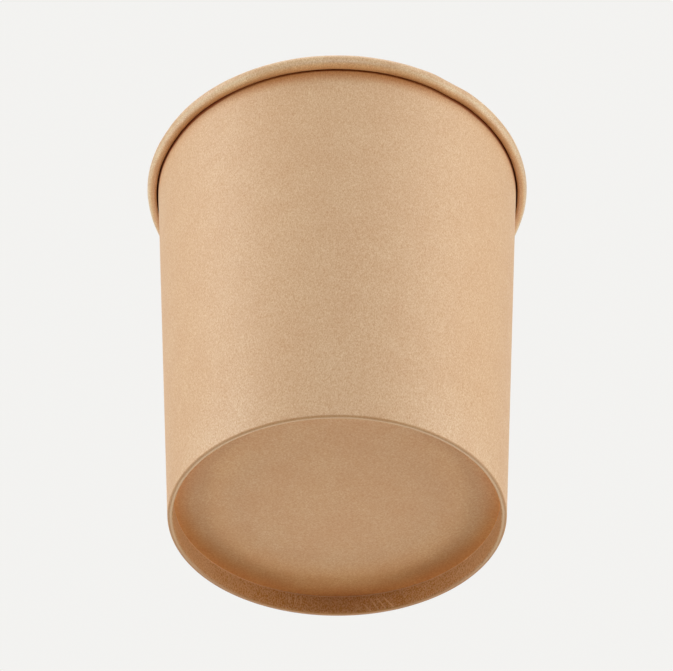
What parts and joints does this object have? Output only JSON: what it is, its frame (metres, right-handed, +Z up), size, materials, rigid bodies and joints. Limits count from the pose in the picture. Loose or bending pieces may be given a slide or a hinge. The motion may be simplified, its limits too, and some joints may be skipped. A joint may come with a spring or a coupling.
{
  "type": "paper soup container",
  "caption": "Tapered round kraft-board soup tub with a rolled rim, a lapped side seam and a recessed disc base held in its folded foot.",
  "frame": {"origin": "centre of the foot, on the plane that the container stands on", "axes": "+Z up to the open mouth, along the container's axis; the side seam is 70 degrees round from +X towards +Y"},
  "size_m": [0.115, 0.115, 0.1238],
  "materials": {
    "wall_board": "matt kraft board with fine fibres",
    "disc_board": "matt kraft board with fine fibres"
  },
  "bodies": {
    "root": {"side_wall": "wall_board", "base_disc": "disc_board"}
  },
  "joints": []
}
